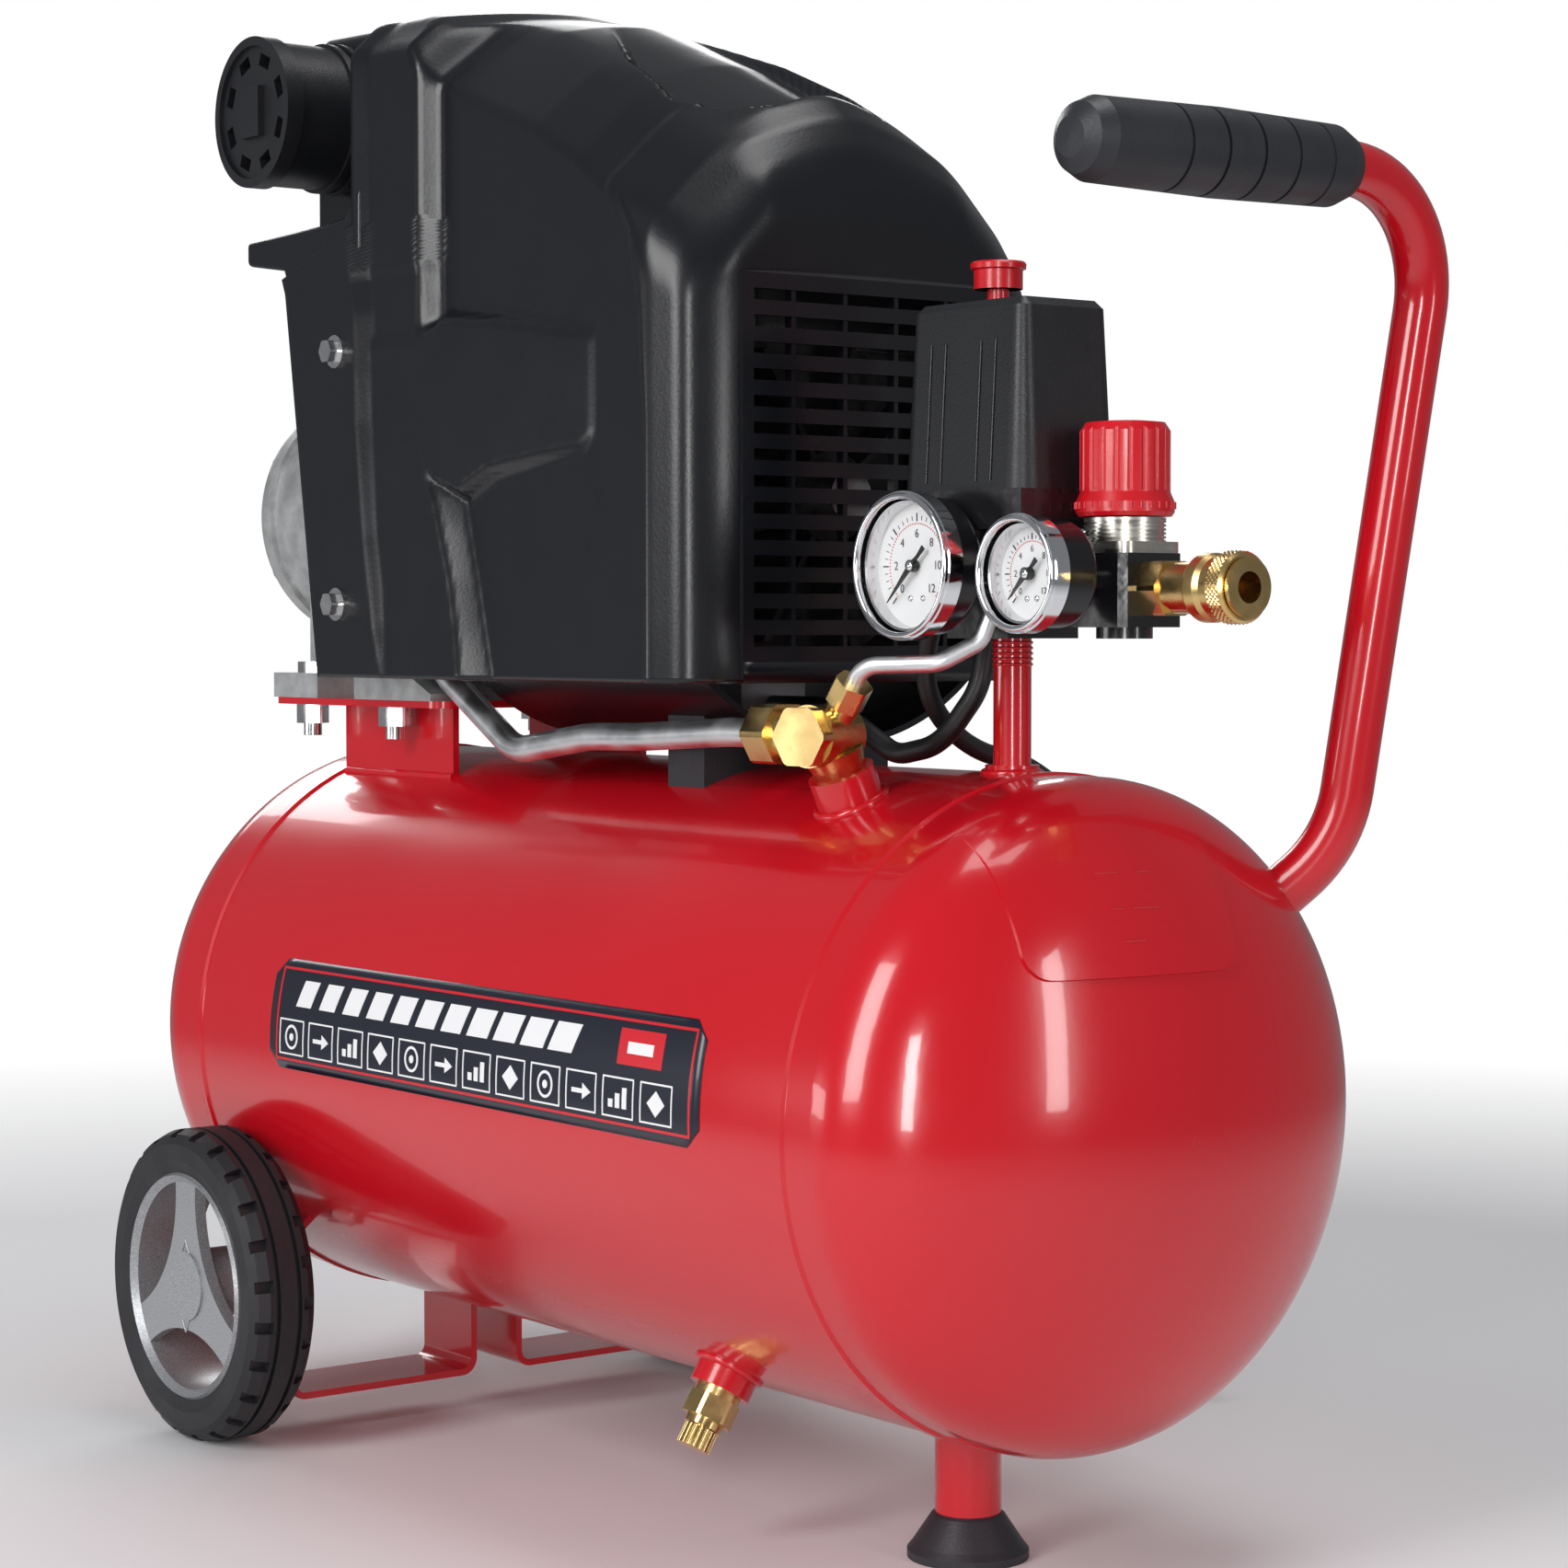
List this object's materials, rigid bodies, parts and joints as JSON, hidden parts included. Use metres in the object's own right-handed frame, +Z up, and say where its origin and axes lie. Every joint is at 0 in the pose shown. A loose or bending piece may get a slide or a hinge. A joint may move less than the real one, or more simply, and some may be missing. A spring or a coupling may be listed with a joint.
{
  "type": "air compressor",
  "caption": "Portable wheeled air compressor with a horizontal tank, shrouded piston pump, pressure switch, gauges, regulator and quick coupler.",
  "frame": {"origin": "centre of the footprint on the floor", "axes": "+X from the pump end to the coupler and handle end, -Y is the gauge side, +Z up"},
  "size_m": [0.6014, 0.4247, 0.616],
  "materials": {
    "tank_paint": "glossy red enamel",
    "cast_metal": "cast, matt",
    "fastener": "zinc plated",
    "inner_steel": "machined",
    "piston_metal": "machined",
    "tube_metal": "satin drawn tube",
    "brass": "machined",
    "ring_steel": "bright wire",
    "shroud_plastic": "satin black",
    "black_plastic": "fine texture",
    "gauge_plastic": "smooth black",
    "black_casting": "gloss black",
    "bonnet_metal": "ribbed nickel",
    "chrome": "polished",
    "lens": "clear",
    "dial": "printed white",
    "needle_black": "matt black",
    "red_plastic": "moulded red",
    "wheel_silver": "silver metallic moulding",
    "tyre": "black, block tread",
    "rubber": "matt",
    "cord_jacket": "satin black"
  },
  "bodies": {
    "frame": {"bearings": "inner_steel", "cable_glands": "black_plastic", "check_valve_body": "brass", "check_valve_nuts": "brass", "coupler_body": "brass", "cowl_damper": "rubber", "crankcase": "cast_metal", "crankcase_cover": "cast_metal", "cylinder": "cast_metal", "cylinder_head": "cast_metal", "discharge_tube": "tube_metal", "drain_valve_body": "brass", "foot_rubber": "rubber", "gauge_bezels": "chrome", "gauge_cases": "gauge_plastic", "gauge_dials": "dial", "gauge_lenses": "lens", "handle_grip": "rubber", "handle_tube": "tank_paint", "intake_cap": "black_plastic", "intake_housing": "black_plastic", "mains_cord": "cord_jacket", "mains_cord_coil": "cord_jacket", "mains_plug": "cord_jacket", "motor_cable": "cord_jacket", "motor_cowl": "shroud_plastic", "motor_stator": "inner_steel", "pump_bracket": "tank_paint", "pump_fasteners": "fastener", "regulator_body": "black_casting", "regulator_bonnet": "bonnet_metal", "relief_tube": "tube_metal", "safety_valve_body": "brass", "shroud": "shroud_plastic", "shroud_grille": "shroud_plastic", "shroud_screws": "fastener", "switch_base": "black_casting", "switch_cover": "black_plastic", "tank_barrel": "tank_paint", "tank_fittings": "tank_paint", "tank_head_left": "tank_paint", "tank_head_right": "tank_paint", "wheel_axles": "fastener", "wheel_straps": "tank_paint"},
    "wheel_left": {"wheel_rim_left": "wheel_silver", "wheel_tyre_left": "tyre"},
    "wheel_right": {"wheel_rim_right": "wheel_silver", "wheel_tyre_right": "tyre"},
    "switch_knob": {"switch_knob": "red_plastic"},
    "regulator_knob": {"regulator_knob": "red_plastic"},
    "coupler_sleeve": {"coupler_sleeve": "brass"},
    "drain_knob": {"drain_knob": "brass"},
    "tank_needle": {"tank_gauge_needle": "needle_black"},
    "line_needle": {"line_gauge_needle": "needle_black"},
    "drive_shaft": {"crankshaft": "inner_steel", "motor_rotor": "inner_steel", "cooling_fan": "black_plastic"},
    "piston_set": {"piston": "piston_metal", "connecting_rod": "piston_metal"},
    "relief_ring": {"safety_valve_ring": "ring_steel"}
  },
  "joints": [
    {"name": "wheel_left_spin", "type": "hinge", "parent": "frame", "child": "wheel_left", "pos_m": [-0.19225, -0.13, 0.067], "axis": [0, 1, 0], "continuous": true},
    {"name": "wheel_right_spin", "type": "hinge", "parent": "frame", "child": "wheel_right", "pos_m": [-0.19225, 0.13, 0.067], "axis": [0, 1, 0], "continuous": true},
    {"name": "switch_knob_push", "type": "slide", "parent": "frame", "child": "switch_knob", "axis": [0, 0, 1], "range_m": [-0.006, 0]},
    {"name": "regulator_turn", "type": "hinge", "parent": "frame", "child": "regulator_knob", "pos_m": [0.23875, 0, 0.4], "axis": [0, 0, 1], "range_deg": [-720, 720]},
    {"name": "coupler_sleeve_pull", "type": "slide", "parent": "frame", "child": "coupler_sleeve", "axis": [-1, 0, 0], "range_m": [0, 0.005], "stiffness_N_per_m": 1500, "springref_m": -0.002},
    {"name": "drain_turn", "type": "hinge", "parent": "frame", "child": "drain_knob", "pos_m": [0.09175, -0.07811, 0.0476], "axis": [0, -0.5299, -0.848], "range_deg": [0, 720]},
    {"name": "tank_needle_swing", "type": "hinge", "parent": "frame", "child": "tank_needle", "pos_m": [0.17875, -0.048, 0.371], "axis": [0, 1, 0], "range_deg": [0, 270], "stiffness_Nm_per_rad": 0.002, "springref_deg": -17.19},
    {"name": "line_needle_swing", "type": "hinge", "parent": "frame", "child": "line_needle", "pos_m": [0.23875, -0.046, 0.3675], "axis": [0, 1, 0], "range_deg": [0, 270], "stiffness_Nm_per_rad": 0.002, "springref_deg": -17.19},
    {"name": "drive_shaft_spin", "type": "hinge", "parent": "frame", "child": "drive_shaft", "pos_m": [-0.01225, 0, 0.4], "axis": [1, 0, 0], "continuous": true},
    {"name": "piston_stroke", "type": "slide", "parent": "frame", "child": "piston_set", "axis": [0, 0, 1], "range_m": [-0.04, 0]},
    {"name": "relief_ring_pull", "type": "slide", "parent": "frame", "child": "relief_ring", "axis": [0, 1, 0], "range_m": [0, 0.003], "stiffness_N_per_m": 2000, "springref_m": -0.002}
  ]
}
